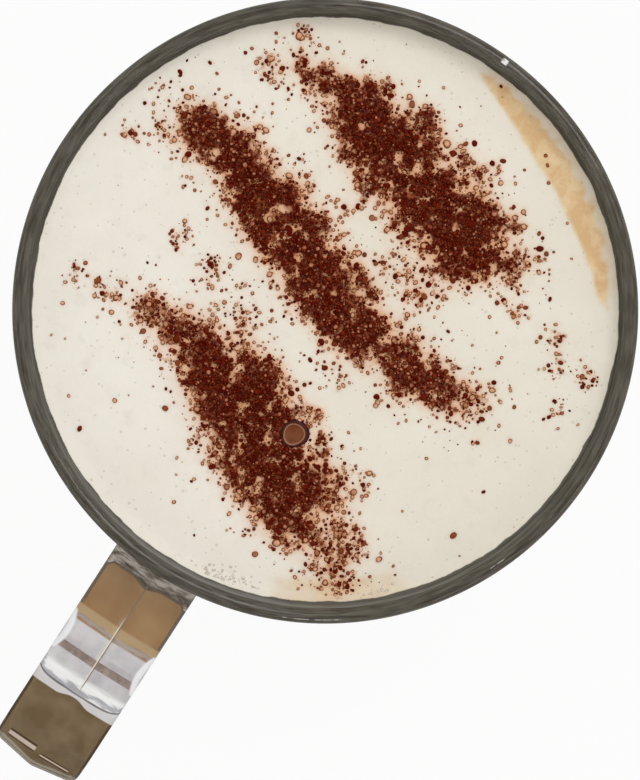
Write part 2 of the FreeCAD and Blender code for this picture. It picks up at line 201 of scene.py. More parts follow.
def cocoa_cover(across, away):
    """How closely cocoa covers places: the bands, what drifted off them and the thin scatterings."""
    across, away = np.asarray(across, float), np.asarray(away, float)
    cover, outside = band_cover(across, away)
    drift = 0.17 * np.exp(-np.maximum(outside, 0) / 1.6) + 0.002
    for x, y, radius, strength in PATCHES:
        off = np.hypot(across - x, away - y)
        drift = np.maximum(drift, strength * (1 - smooth_step(0.4, 1.3, off / radius)))
    clear = smooth_step(BURST_RADIUS + 0.1, BURST_RADIUS + 0.5, from_burst_bubble(across, away))
    holes = 1 - 0.6 * smooth_step(0.3, 0.65, COCOA_HOLES(across, away))
    return np.maximum(cover, drift) * clear * holes


def crema_share(across, away):
    """How strongly coffee stains the foam, from 0 to 1: the crescent by the far right of the glass, and a
    faint patch by its near side."""
    radius = np.hypot(across, away)
    turn = np.degrees(np.arctan2(away, across))
    along = np.abs(turn - 29) / 29
    inner = 32.9 + np.where(turn > 29, 3.4, 2.8) * along ** 2 + 0.35 * CREMA_EDGE(across, away)
    outer = 36.5 + 0.3 * CREMA_BLOTCHES(across, away)
    faded = 0.7 * smooth_step(outer - 0.5, outer + 0.6, radius)
    share = smooth_step(inner - 0.6, inner + 0.9, radius) * (1 - faded)
    share = share * (1 - smooth_step(0.8, 1.12, along)) * (0.85 + 0.15 * CREMA_BLOTCHES(across, away))
    nearest = 0.4 * smooth_step(33.5, 35.5, radius) * (1 - smooth_step(0.5, 1.1, np.abs(turn + 87) / 16))
    return np.maximum(share, nearest)


def foam_height(x, y):
    """Height of the foam's skin at (x, y) of the row frame: nearly level, heaped under the cocoa and
    climbing the glass."""
    across, away = from_model(x, y)
    from_wall = np.maximum(FOAM_RADIUS - np.hypot(x, y), 0)
    smeared = 1 - smooth_step(0.8, 1.2, np.abs(np.degrees(np.arctan2(away, across)) - 32) / 30)
    teeth = (0.15 + 0.4 * smeared) * np.maximum(CLIMB_TEETH(x, y), -0.3)
    climb = FOAM_CLIMB * (1 + 0.25 * CLIMB_WAVES(x, y) + teeth)
    heap = smooth_step(0.35, 0.95, cocoa_cover(across, away))
    heap = heap * (0.3 + 0.14 * HEAP_LUMPS(x, y) + 0.1 * HEAP_CRUMBS(x, y))
    dent = 0.5 * (1 - smooth_step(BURST_RADIUS - 0.2, BURST_RADIUS + 0.2, from_burst_bubble(across, away)))
    level = FOAM_LEVEL + 0.12 * SWELL(x, y) + 0.04 * RIPPLE(x, y)
    return level + climb * np.exp(-((from_wall / 0.75) ** 1.3)) + heap - dent


# ---- materials ----


class Material:
    """A node material with short calls for adding nodes and wires."""

    def __init__(self, name):
        self.material = bpy.data.materials.new(name)
        self.material.use_nodes = True
        self.tree = self.material.node_tree
        self.tree.nodes.clear()
        self.output = self.node("ShaderNodeOutputMaterial")

    def node(self, kind, inputs=None, **settings):
        node = self.tree.nodes.new(kind)
        for key, value in settings.items():
            setattr(node, key, value)
        for key, value in (inputs or {}).items():
            if isinstance(value, bpy.types.NodeSocket):
                self.tree.links.new(value, node.inputs[key])
            else:
                node.inputs[key].default_value = value
        return node

    def math(self, operation, *values):
        return self.node("ShaderNodeMath", dict(enumerate(values)), operation=operation).outputs[0]

    def product(self, first, *others):
        for other in others:
            first = self.math("MULTIPLY", first, other)
        return first

    def mix(self, factor, first, second):
        return self.node("ShaderNodeMix", {0: factor, 6: first, 7: second}, data_type="RGBA").outputs[2]

    def ramp(self, value, *stops):
        """stops are (position, colour)."""
        node = self.node("ShaderNodeValToRGB", {"Fac": value})
        elements = node.color_ramp.elements
        while len(elements) < len(stops):
            elements.new(0.5)
        for element, (position, colour) in zip(elements, stops):
            element.position = position
            element.color = colour
        return node.outputs["Color"]

    def rise(self, value, low, high):
        """0 below low, 1 above high and smooth between; with low above high it falls instead."""
        inputs = {"Value": value, "From Min": low, "From Max": high}
        return self.node("ShaderNodeMapRange", inputs, interpolation_type="SMOOTHSTEP").outputs[0]

    def between(self, value, low, high, soft):
        """1 between low and high, falling to 0 over soft on either side."""
        above = self.rise(value, low - soft, low + soft)
        return self.math("MULTIPLY", above, self.rise(value, high + soft, high - soft))

    def place(self):
        return self.node("ShaderNodeTexCoord").outputs["Object"]

    def xyz(self, vector):
        return self.node("ShaderNodeSeparateXYZ", {0: vector}).outputs

    def noise(self, scale, detail=2.0, roughness=0.5, stretch=(1.0, 1.0, 1.0)):
        """Smooth noise over the object; a small stretch draws it out along that axis."""
        place = self.node("ShaderNodeVectorMath", {0: self.place(), 1: stretch}, operation="MULTIPLY")
        inputs = {"Vector": place.outputs[0], "Scale": scale, "Detail": detail, "Roughness": roughness}
        return self.node("ShaderNodeTexNoise", inputs).outputs["Fac"]

    def dots(self, scale, radius, share):
        """Scattered round dots: 1 in a dot. radius is in cells and share tells how many cells have one."""
        cells = self.node("ShaderNodeTexVoronoi", {"Vector": self.place(), "Scale": scale}).outputs
        chosen = self.math("LESS_THAN", self.xyz(cells["Color"])[0], share)
        return self.math("MULTIPLY", self.rise(cells["Distance"], radius, radius * 0.55), chosen)

    def attribute(self, name):
        return self.node("ShaderNodeAttribute", attribute_name=name).outputs["Fac"]

    def bump(self, height, strength, distance):
        inputs = {"Height": height, "Strength": strength, "Distance": distance}
        return self.node("ShaderNodeBump", inputs).outputs["Normal"]

    def surface(self, shader):
        self.tree.links.new(shader.outputs[0], self.output.inputs["Surface"])

    def volume(self, shader):
        self.tree.links.new(shader.outputs[0], self.output.inputs["Volume"])


def radius_of(m, x, y):
    flat = m.node("ShaderNodeCombineXYZ", {0: x, 1: y}).outputs[0]
    return m.node("ShaderNodeVectorMath", {0: flat}, operation="LENGTH").outputs["Value"]


def glass_material():
    """Clear pressed glass. A thin skin of painted light lies over it: on the handle's top, painted refraction
    of what the glass there shows of the drink and the table, with painted highlights and shade; on the lip
    and the wet inside, a painted dark reflection of the room. look is the skin's colour and shown its share."""
    m = Material("pressed_glass")
    x, y, z = m.xyz(m.place())
    rim = RIM_HEIGHT * MM
    facing_up = m.xyz(m.node("ShaderNodeTexCoord").outputs["Normal"])[2]
    turned_away = m.node("ShaderNodeLayerWeight", {"Blend": 0.5}).outputs["Facing"]
    on_strap = m.product(m.rise(facing_up, 0.05, 0.2), m.rise(z, 0.066, 0.068))
    aside = m.math("ABSOLUTE", y)
    blotches, grit = m.noise(260.0, 3.0, 0.6), m.noise(900.0, 3.0, 0.6)
    look, shown = (1, 1, 1, 1), (0, 0, 0, 1)

    def lay(mask, share, paint):
        nonlocal look, shown
        look = m.mix(mask, look, paint)
        shown = m.mix(mask, shown, (share, share, share, 1))

    def strap_zone(low, high, soft, share, paint, along=x):
        lay(m.product(m.between(along, low * MM, high * MM, soft * MM), on_strap), share, paint)

    # Painted reflections: silvery facets and dark lines where the strap leaves the mug.
    painted_root_lines = m.noise(1000.0, 3.0, 0.7, stretch=(1.0, 0.12, 1.0))
    strap_zone(38.0, 44.4, 0.1, 0.8, m.ramp(painted_root_lines, (0.4, srgb(62, 52, 42)), (0.5, srgb(146, 134, 120)),
                                            (0.62, srgb(210, 204, 194))))
    # Painted refraction: the drink's brown as the strap shows it, in a panel with rounded corners and a
    # painted dark outline, which starts later at the seam.
    corner = m.product(m.rise(aside, 0.0052, 0.0060), 0.0007)
    start = m.math("SUBTRACT", m.math("SUBTRACT", x, corner), m.product(m.rise(aside, 0.0024, 0.0), 0.0006))
    edge = m.rise(aside, 0.0060, 0.0057)
    lay(m.product(m.between(start, 0.0433, 0.0560, 0.0001), on_strap), 0.75, srgb(84, 70, 54))
    painted_drink_brown = m.ramp(m.noise(150.0, 2.0), (0.35, srgb(150, 110, 66)), (0.65, srgb(176, 138, 92)))
    lay(m.product(m.between(start, 0.0436, 0.0560, 0.00012), edge, on_strap), 0.8, painted_drink_brown)
    # A painted pale tan strip and a painted fringe where the refracted brown ends.
    strap_zone(50.4, 51.9, 0.15, 0.8, srgb(184, 154, 112))
    fringe = m.math("ADD", x, m.product(m.math("SUBTRACT", blotches, 0.5), 0.003))
    strap_zone(51.8, 52.5, 0.1, 0.7, srgb(158, 138, 124), fringe)
    # Painted refraction: the clear part over the finger hole, grey as the glass shows it, with the brown of
    # the mug's far side as a painted strip.
    painted_clear_grey = m.ramp(blotches, (0.35, srgb(188, 184, 188)), (0.65, srgb(220, 216, 219)))
    strap_zone(52.5, 63.0, 0.15, 0.75, painted_clear_grey)
    strap_zone(55.7, 56.8, 0.06, 0.85, m.ramp(grit, (0.35, srgb(126, 108, 96)), (0.65, srgb(160, 142, 132))))
    # A painted highlight: a streaky white band of glare reflected inside the glass.
    painted_glare_streaks = m.noise(800.0, 3.0, 0.6, stretch=(1.0, 0.2, 1.0))
    strap_zone(58.8, 61.2, 0.5, 0.85, m.ramp(painted_glare_streaks, (0.4, srgb(178, 178, 184)),
                                             (0.52, srgb(255, 255, 255))))
    # Painted highlights along both sides of the strap.
    bow = m.math("DIVIDE", m.math("SUBTRACT", x, 0.0544), 0.0032)
    glints = m.between(m.math("SUBTRACT", aside, m.product(bow, bow, 0.0009)), 0.0052, 0.0061, 0.0002)
    lay(m.product(glints, m.rise(m.math("ABSOLUTE", bow), 1.0, 0.9), on_strap), 0.9, srgb(252, 252, 255))
    # A painted dark line and a painted pale one close it off.
    close = m.math("ADD", x, m.product(m.math("POWER", m.math("DIVIDE", aside, 0.006), 6.0), 0.0006))
    deep = m.math("SUBTRACT", x, m.product(m.rise(aside, 0.0002, 0.0026), 0.0006))
    strap_zone(61.1, 63.0, 0.1, 0.85, srgb(226, 224, 224), close)
    strap_zone(60.85, 61.1, 0.08, 0.85, srgb(104, 104, 108), close)
    # Down the grip the glass is deep, and the olive brown it shows there is painted on as refraction.
    painted_olive = m.ramp(m.noise(300.0, 2.0), (0.35, srgb(114, 96, 70)), (0.65, srgb(134, 116, 90)))
    strap_zone(61.5, 80.0, 0.08, 0.8, painted_olive, deep)
    # Painted shade: dark outlines along the grip's sides and round its end.
    lay(m.product(m.rise(aside, 0.0058, 0.0060), m.rise(x, 0.0620, 0.0624), on_strap), 0.8, srgb(82, 66, 50))
    lay(m.product(m.rise(x, 0.0715, 0.0720), m.rise(facing_up, 0.4, 0.25), on_strap), 0.8, srgb(82, 66, 50))
    # Painted highlights: two pale bars edged with painted dark lines, on the bend near the end.
    left_glint_bar = m.product(m.rise(y, 0.0002, 0.0004), m.rise(y, 0.0048, 0.0046), on_strap)
    right_glint_bar = m.product(m.rise(y, -0.0005, -0.0007), m.rise(y, -0.0049, -0.0047), on_strap)
    for bar, low, high, soft, paint in ((left_glint_bar, 70.2, 70.8, 0.08, srgb(72, 56, 42)),
                                        (left_glint_bar, 70.4, 70.6, 0.06, srgb(226, 204, 180)),
                                        (right_glint_bar, 69.5, 70.6, 0.08, srgb(72, 56, 42)),
                                        (right_glint_bar, 69.8, 70.4, 0.08, srgb(214, 196, 180))):
        lay(m.product(m.between(x, low * MM, high * MM, soft * MM), bar), 0.9, paint)
    # Along the parting seam: painted shade as a dark line, with a painted highlight beside it where the glass
    # is clear.
    seam = m.product(m.between(x, 0.0430, 0.0600, 0.0008), on_strap)
    lay(m.product(m.between(y, 0.00006, 0.00020, 0.00004), seam), 0.7, srgb(122, 98, 70))
    clear_seam = m.product(m.rise(x, 0.0480, 0.0510), seam)
    lay(m.product(m.between(y, -0.00010, 0.00004, 0.00004), clear_seam), 0.85, srgb(246, 238, 222))

    # Painted reflection of the dark room: the lip, and the wet inside above the foam where it is seen aslant,
    # are painted dark.
    radius, angle = radius_of(m, x, y), m.math("ARCTAN2", y, x)
    unrolled = m.node("ShaderNodeCombineXYZ", {0: radius, 1: m.product(angle, 0.004), 2: z}).outputs[0]
    dark_reflection_streaks = m.node("ShaderNodeTexNoise", {"Vector": unrolled, "Scale": 2600.0, "Detail": 2.0})
    dark = m.ramp(dark_reflection_streaks.outputs["Fac"], (0.38, srgb(70, 67, 59)), (0.62, srgb(104, 101, 92)))
    on_lip = m.rise(z, rim - 0.0015, rim - 0.0009)
    lay(on_lip, 0.62, dark)
    inside = m.product(m.rise(turned_away, 0.6, 0.8), m.rise(z, rim - 0.0044, rim - 0.0038),
                       m.rise(radius, 0.0388, 0.0386))
    lay(inside, 0.95, dark)
    # Painted highlights: white glints on the lip.
    painted_glint_white = m.ramp(grit, (0.4, srgb(120, 118, 112)), (0.52, srgb(252, 252, 252)))
    for turn, span, inner_edge, outer_edge in ((30.5, 5.5, 0.03931, 0.03937), (67.5, 1.6, 0.0389, 0.03896),
                                               (177.3, 0.6, 0.0388, 0.0395)):
        glint = m.between(angle, math.radians(turn - span), math.radians(turn + span), 0.004)
        lay(m.product(glint, m.between(radius, inner_edge, outer_edge, 0.00006), on_lip), 0.85, painted_glint_white)
    # The glass's slight tint, darkened on the lip and more on the wet inside as painted shade.
    tint_and_shade = m.mix(m.rise(z, rim - 0.0017, rim - 0.0009), (0.975, 0.98, 0.965, 1), srgb(62, 60, 52))
    tint_and_shade = m.mix(inside, tint_and_shade, srgb(40, 38, 32))
    glass = m.node("ShaderNodeBsdfPrincipled", {
        "Base Color": tint_and_shade,
        "Roughness": 0.0,
        "IOR": 1.5,
        "Transmission Weight": 1.0,
    })
    skin = m.node("ShaderNodeBsdfPrincipled", {
        "Base Color": look,
        "Roughness": 0.3,
        "Specular IOR Level": 0.0,
    })
    m.surface(m.node("ShaderNodeMixShader", {0: shown, 1: glass.outputs[0], 2: skin.outputs[0]}))
    m.volume(m.node("ShaderNodeVolumeAbsorption", {"Color": (0.6, 0.5, 0.1, 1), "Density": 3.0}))
    return m.material


def foam_material():
    """Milk foam with fine pores, stained by the cocoa that lies on it and by coffee in the crescent."""
    m = Material("milk_foam_skin")
    cocoa, stain, crema = m.attribute("cocoa"), m.attribute("stain"), m.attribute("crema")
    fine = m.math("SUBTRACT", m.noise(950.0, 2.0), 0.5)
    soft = m.math("SUBTRACT", m.noise(330.0, 3.0), 0.5)

    x, y, height = m.xyz(m.place())
    # Painted light: the foam is a little paler on the drinker's left, where more light falls.
    across = m.math("ADD", m.product(x, math.cos(HANDLE_TURN)), m.product(y, math.sin(HANDLE_TURN)))
    swell = m.noise(95.0, 3.0)
    right = m.ramp(swell, (0.35, srgb(237, 230, 214)), (0.65, srgb(241, 235, 220)))
    left = m.ramp(swell, (0.35, srgb(243, 237, 225)), (0.65, srgb(247, 242, 231)))
    colour = m.mix(m.rise(across, 0.012, -0.03), right, left)
    mottle = m.rise(m.noise(420.0, 3.0, 0.6), 0.55, 0.75)
    colour = m.mix(m.math("MULTIPLY", mottle, 0.35), colour, srgb(226, 220, 208))
    # Pores drawn as grey dots: painted shade in the foam's small holes.
    pores = m.math("MAXIMUM", m.dots(1100.0, 0.2, 0.3), m.dots(520.0, 0.13, 0.35))
    colour = m.mix(m.math("MULTIPLY", pores, 0.35), colour, srgb(176, 168, 154))

    crescent = m.rise(m.math("ADD", crema, m.math("MULTIPLY", soft, 0.5)), 0.0, 0.75)
    amber = m.ramp(m.noise(420.0, 3.0, 0.6), (0.4, srgb(222, 184, 136)), (0.6, srgb(234, 206, 162)))
    colour = m.mix(crescent, colour, amber)

    halo = m.rise(m.math("ADD", stain, m.math("MULTIPLY", fine, 0.3)), 0.0, 0.8)
    colour = m.mix(m.math("MULTIPLY", halo, 0.95), colour, srgb(232, 170, 124))
    soaked = m.rise(m.math("ADD", cocoa, m.math("MULTIPLY", fine, 1.5)), 0.3, 0.8)
    speckle = m.noise(1500.0, 2.0)
    thin = m.ramp(speckle, (0.38, srgb(146, 68, 34)), (0.6, srgb(212, 146, 102)))
    thick = m.ramp(speckle, (0.38, srgb(84, 14, 2)), (0.65, srgb(158, 80, 46)))
    colour = m.mix(soaked, colour, m.mix(m.rise(cocoa, 0.35, 0.85), thin, thick))

    # Painted shade: where the foam meets the glass it is as dark as the ring, most on the near right.
    toward = to_model(0.5, -0.866)
    nearness = m.math("ADD", m.product(x, toward[0]), m.product(y, toward[1]))
    reach = m.math("ADD", m.product(m.rise(nearness, 0.024, 0.034), 0.00022), m.product(soft, 0.0006))
    from_wall = m.math("SUBTRACT", FOAM_RADIUS * MM, radius_of(m, x, y))
    wet = m.product(m.rise(m.math("SUBTRACT", from_wall, reach), 0.00012, -0.00002),
                    m.rise(m.attribute("skin"), 0.96, 0.99))
    colour = m.mix(wet, colour, srgb(100, 96, 86))

    # Down the side the foam turns to coffee over an uneven edge.
    bottom = FOAM_BOTTOM * MM
    edge = m.math("ADD", height, m.math("MULTIPLY", m.math("SUBTRACT", m.noise(120.0, 4.0), 0.5), 0.006))
    colour = m.mix(m.rise(edge, bottom + 0.0075, bottom + 0.0005), colour, srgb(206, 172, 134))
    m.surface(m.node("ShaderNodeBsdfPrincipled", {
        "Base Color": colour,
        "Roughness": 0.5,
        "Specular IOR Level": 0.1,
        "Normal": m.bump(m.math("SUBTRACT", m.noise(2200.0, 2.0), pores), 0.2, 0.00015),
    }))
    return m.material


def coffee_material():
    """Milky coffee, palest under the foam."""
    m = Material("milky_coffee")
    height = m.xyz(m.place())[2]
    body = m.ramp(m.noise(60.0, 4.0), (0.3, srgb(132, 90, 56)), (0.7, srgb(150, 106, 70)))
    drift = m.math("ADD", height, m.math("MULTIPLY", m.math("SUBTRACT", m.noise(140.0, 4.0), 0.5), 0.012))
    top = FOAM_BOTTOM * MM
    body = m.mix(m.rise(drift, top - 0.012, top - 0.001), body, srgb(196, 156, 114))
    m.surface(m.node("ShaderNodeBsdfPrincipled", {"Base Color": body, "Roughness": 0.25}))
    return m.material


def cocoa_material(name, dark, brown, pale, clear_share):
    """Wet cocoa grains. A grain's tone makes it dark or brown, and grains that lie alone are lighter. Each
    grain is painted lighter on its top and darker round its rim, as painted light and shade, and the clearer
    ones have a pale middle on top, also painted light."""
    m = Material(name)
    tone, top, alone = m.attribute("tone"), m.attribute("top"), m.attribute("alone")
    lone = m.product(alone, m.rise(tone, 0.15, 0.5))
    # Painted shade and light: rim is the colour of a grain's shaded sides, face that of its lit top.
    rim = m.mix(m.product(lone, 0.8), dark, srgb(132, 72, 38))
    face = m.mix(m.product(lone, 0.6), brown, srgb(182, 124, 84))
    shine = m.math("ADD", 0.6, m.product(alone, 0.4))
    body = m.mix(m.product(m.rise(top, 0.25, 0.8), m.rise(tone, 0.1, 0.6), shine), rim, face)
    middle = m.product(m.rise(top, 0.6, 0.9), m.rise(tone, 0.95 - clear_share, 1.15 - clear_share))
    body = m.mix(m.product(middle, m.math("ADD", 0.4, m.product(alone, 0.5))), body, pale)
    body = m.mix(m.product(m.rise(m.noise(1900.0, 2.0), 0.45, 0.7), 0.4), body, rim)
    m.surface(m.node("ShaderNodeBsdfPrincipled", {
        "Base Color": body,
        "Roughness": 0.6,
        "Specular IOR Level": 0.04,
        "Normal": m.bump(m.noise(2600.0, 2.0), 0.25, 0.0001),
    }))
    return m.material


# ---- meshes ----


def add_mesh(name, vertices, faces, material, node_slot):
    """A piece of the object from millimetre vertices, riding on the one body."""
    mesh = bpy.data.meshes.new(name)
    mesh.from_pydata(np.asarray(vertices) * MM, [], faces)
    mesh.shade_smooth()
    mesh.materials.append(material)
    piece = bpy.data.objects.new(name, mesh)
    bpy.context.collection.objects.link(piece)
    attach(piece, "root")
    return piece


def mark(piece, name, values):
    """Gives each vertex of a piece a number that its material reads."""
    layer = piece.data.attributes.new(name, "FLOAT", "POINT")
    layer.data.foreach_set("value", np.asarray(values, dtype=np.float32))


def turned(profile, steps):
    """Vertices and faces of a profile of (radius, height) turned round the axis; radius 0 makes a pole."""
    angle = np.arange(steps) * 2 * math.pi / steps
    vertices, rings = [], []
    for radius, height in profile:
        if radius == 0:
            rings.append([len(vertices)] * steps)
            vertices.append((0, 0, height))
            continue
        rings.append(list(range(len(vertices), len(vertices) + steps)))
        vertices += [(radius * math.cos(a), radius * math.sin(a), height) for a in angle]
    faces = []
    for lower, upper in zip(rings, rings[1:]):
        for i in range(steps):
            j = (i + 1) % steps
            corners = [lower[i], lower[j], upper[j], upper[i]]
            faces.append(list(dict.fromkeys(corners)))
    return vertices, faces


def rounded(corners, per_corner=8):
    """A path through (x, z, radius) corners, each rounded by its radius; the ends stay sharp."""
    path = []
    for i, (x, z, radius) in enumerate(corners):
        here = np.array([x, z])
        if radius == 0 or i in (0, len(corners) - 1):
            path.append(here)
            continue
        back = np.array(corners[i - 1][:2]) - here
        ahead = np.array(corners[i + 1][:2]) - here
        back, ahead = back / np.linalg.norm(back), ahead / np.linalg.norm(ahead)
        half = math.acos(np.clip(back @ ahead, -1, 1)) / 2
        centre = here + (back + ahead) / np.linalg.norm(back + ahead) * radius / math.sin(half)
        first = here + back * radius / math.tan(half) - centre
        last = here + ahead * radius / math.tan(half) - centre
        sweep = math.pi - 2 * half
        for share in np.linspace(0, 1, per_corner + 1):
            blend = (math.sin((1 - share) * sweep) * first + math.sin(share * sweep) * last) / math.sin(sweep)
            path.append(centre + blend)
    return path


# ---- the glass ----


def tumbler_profile():
    lean = (RIM_RADIUS - FOOT_RADIUS) / RIM_HEIGHT
    floor_edge = FOOT_RADIUS + lean * FLOOR_HEIGHT - WALL_AT_FLOOR
    path = rounded([
        (0, RECESS_DEPTH, 0),
        (RECESS_RADIUS - RECESS_STEP, RECESS_DEPTH, RECESS_ROUNDING),
        (RECESS_RADIUS, 0, RECESS_ROUNDING),
        (FOOT_RADIUS, 0, HEEL_RADIUS),
        (RIM_RADIUS, RIM_HEIGHT, LIP_ROUNDING),
        (RIM_RADIUS - LIP_THICKNESS, RIM_HEIGHT, LIP_ROUNDING),
        (floor_edge, FLOOR_HEIGHT, FLOOR_RADIUS),
        (0, FLOOR_HEIGHT, 0),
    ], 14)
    filled = [path[0]]
    for a, b in zip(path, path[1:]):
        pieces = max(1, int(np.linalg.norm(b - a) / 3.0))
        filled += [a + (b - a) * k / pieces for k in range(1, pieces + 1)]
    return [(0, filled[0][1])] + [tuple(p) for p in filled[1:-1]] + [(0, filled[-1][1])]


def crossing(start, way, other_start, other_way):
    gap = other_start - start
    turn = way[0] * other_way[1] - way[1] * other_way[0]
    return start + way * ((gap[0] * other_way[1] - gap[1] * other_way[0]) / turn)


def handle_paths():
    """The handle's outer and inner lines in the XZ plane, from the upper root round to the lower one."""
    lean = math.atan2(RIM_RADIUS - FOOT_RADIUS, RIM_HEIGHT)
    up, out = np.array([math.sin(lean), math.cos(lean)]), np.array([math.cos(lean), -math.sin(lean)])
    foot, level = np.array([FOOT_RADIUS, 0.0]), np.array([1.0, 0.0])
    strap = np.array([math.cos(LOWER_STRAP_CLIMB), math.sin(LOWER_STRAP_CLIMB)])
    over_strap = np.array([-strap[1], strap[0]])
    wall = foot - out * ROOT_SINK
    top = np.array([0.0, RIM_HEIGHT - HANDLE_DROP])
    low = foot + up * (HANDLE_FOOT + ROOT_FLARE)
    inward = -out * 0.65
    sides = (
        (FINGER_GAP + GRIP_THICKNESS, top, low, OUTER_BENDS, (TOP_FLARE, ROOT_FLARE), 1),
        (FINGER_GAP, top - (0, STRAP_THICKNESS), low + over_strap * STRAP_THICKNESS, INNER_BENDS,
         (ROOT_FLARE, ROOT_FLARE), -1),
    )
    for reach, upper, lower, bends, flares, sign in sides:
        grip = foot + out * reach
        corners = [crossing(wall, up, upper, level), crossing(grip, up, upper, level),
                   crossing(grip, up, lower, strap), crossing(wall, up, lower, strap)]
        chain = [corners[0] + up * sign * 12, *corners, corners[-1] - up * sign * 12]
        radii = (0, flares[0], *bends, flares[1], 0)
        arcs = rounded([(*point, radius) for point, radius in zip(chain, radii)], 16)[1:-1]
        path = [arcs[0] + inward]
        for i, point in enumerate(arcs):
            path.append(point)
            if i % 17 == 16 and i + 1 < len(arcs):
                path += [point + (arcs[i + 1] - point) * t for t in np.linspace(0, 1, 21)[1:-1]]
        yield np.array(path + [arcs[-1] + inward]), foot, out


def handle_section(half_width, thickness):
    """Points (y, t) round the handle, t from 0 on its inner ridge to the thickness on its outer one."""
    fall = HANDLE_WIDTH / 2 * math.tan(HANDLE_DRAFT)
    side = rounded([
        (0.0, thickness, 0),
        (half_width, thickness - fall, EDGE_ROUNDING),
        (half_width, fall, EDGE_ROUNDING),
        (0.0, 0.0, 0),
    ], 7)
    pieces = {0: 12, len(side) // 2 - 1: 4, len(side) - 2: 12}
    points = []
    for number, (a, b) in enumerate(zip(side, side[1:])):
        count = pieces.get(number, 1)
        points += [a + (b - a) * k / count for k in range(count)]
    points.append(side[-1])
    loop = [(y, t) for y, t in points] + [(-y, t) for y, t in points[-2:0:-1]]
    softened = []
    for y, t in loop:
        if abs(y) < RIDGE_ROUNDING * math.sin(HANDLE_DRAFT):
            drop = RIDGE_ROUNDING / math.cos(HANDLE_DRAFT) - math.sqrt(RIDGE_ROUNDING ** 2 - y * y)
            t = thickness - drop if t > thickness / 2 else drop
        softened.append((y, t))
    return softened


def handle_mesh():
    (outside, foot, out), (inside, _, _) = handle_paths()
    vertices, faces = [], []
    for outer, inner in zip(outside, inside):
        from_wall = max(float(((outer + inner) / 2 - foot) @ out), 0)
        half_width = HANDLE_WIDTH / 2 + 1.0 * math.exp(-from_wall / 0.5)
        thickness = float(np.linalg.norm(outer - inner))
        across = (outer - inner) / thickness
        for y, t in handle_section(half_width, thickness):
            x, z = inner + across * t
            vertices.append((x, y, z))
    size = len(vertices) // len(outside)
    for ring in range(len(outside) - 1):
        for j in range(size):
            a, b = ring * size + j, ring * size + (j + 1) % size
            faces.append([a, a + size, b + size, b])
    faces.append(list(range(size)))
    faces.append(list(range(len(vertices) - size, len(vertices)))[::-1])
    return vertices, faces


def make_mug(material):
    """The tumbler and the handle as one closed skin."""
    body = add_mesh("mug_glass", *turned(tumbler_profile(), 288), material, "glass")
    mesh = bpy.data.meshes.new("handle")
    vertices, faces = handle_mesh()
    mesh.from_pydata(np.asarray(vertices) * MM, [], faces)
    handle = bpy.data.objects.new("handle", mesh)
    bpy.context.collection.objects.link(handle)
    for item in (body, handle):
        skin = bmesh.new()
        skin.from_mesh(item.data)
        bmesh.ops.recalc_face_normals(skin, faces=skin.faces)
        skin.to_mesh(item.data)
        skin.free()
    union = body.modifiers.new("union", "BOOLEAN")
    union.operation = "UNION"
    union.solver = "MANIFOLD"
    union.object = handle
    merged = bpy.data.meshes.new_from_object(body.evaluated_get(bpy.context.evaluated_depsgraph_get()))
    body.modifiers.clear()
    body.data = merged
    bpy.data.objects.remove(handle)
    merged.shade_smooth()
    with bpy.context.temp_override(object=body, active_object=body, selected_editable_objects=[body]):
        bpy.ops.object.shade_smooth_by_angle(angle=math.radians(28))
    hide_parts("glass_mug")


# ---- the drink ----


def disc_grid(side):
    """Unit disc as a square grid of quads pushed out to a circle: (x, y) of each vertex, the quads, and the
    border's vertices in order."""
    a, b = np.meshgrid(np.linspace(-1, 1, side + 1), np.linspace(-1, 1, side + 1))
    a, b = a.ravel(), b.ravel()
    wide = np.abs(a) >= np.abs(b)
    radius = np.where(wide, a, b)
    with np.errstate(divide="ignore", invalid="ignore"):
        angle = np.where(wide, math.pi / 4 * b / a, math.pi / 2 - math.pi / 4 * a / b)
    angle = np.nan_to_num(angle)
    x, y = radius * np.cos(angle), radius * np.sin(angle)
    row = np.arange(side)
    start = (row[:, None] * (side + 1) + row[None, :]).ravel()
    quads = np.stack([start, start + 1, start + side + 2, start + side + 1], 1)
    last = side * (side + 1)
    border = np.concatenate([row, row * (side + 1) + side, last + side - row, last - row * (side + 1)])
    return x, y, quads, border


class Stain:
    """How far the colour of the grains has run into the foam round them."""

    CELL, REACH = 0.1, 40.0

    def __init__(self, grains):
        """grains are (across, away, radius)."""
        side = int(2 * self.REACH / self.CELL)
        self.values = np.zeros((side, side))
        across, away, radius = np.asarray(grains).T
        column = ((across + self.REACH) / self.CELL).astype(int)
        row = ((away + self.REACH) / self.CELL).astype(int)
        np.add.at(self.values, (row, column), (radius / 0.2) ** 2)
        near, wide = self.blurred(0.35), self.blurred(1.5)
        self.values = 1 - np.exp(-(8.0 * near + 8.0 * wide))

    def blurred(self, width):
        taps = np.exp(-0.5 * (np.arange(-3 * width, 3 * width + self.CELL / 2, self.CELL) / width) ** 2)
        taps /= taps.sum()
        rows = np.apply_along_axis(np.convolve, 1, self.values, taps, "same")
        return np.apply_along_axis(np.convolve, 0, rows, taps, "same")

    def __call__(self, across, away):
        column = np.clip((across + self.REACH) / self.CELL, 0, self.values.shape[1] - 1).astype(int)
        row = np.clip((away + self.REACH) / self.CELL, 0, self.values.shape[0] - 1).astype(int)
        return self.values[row, column]


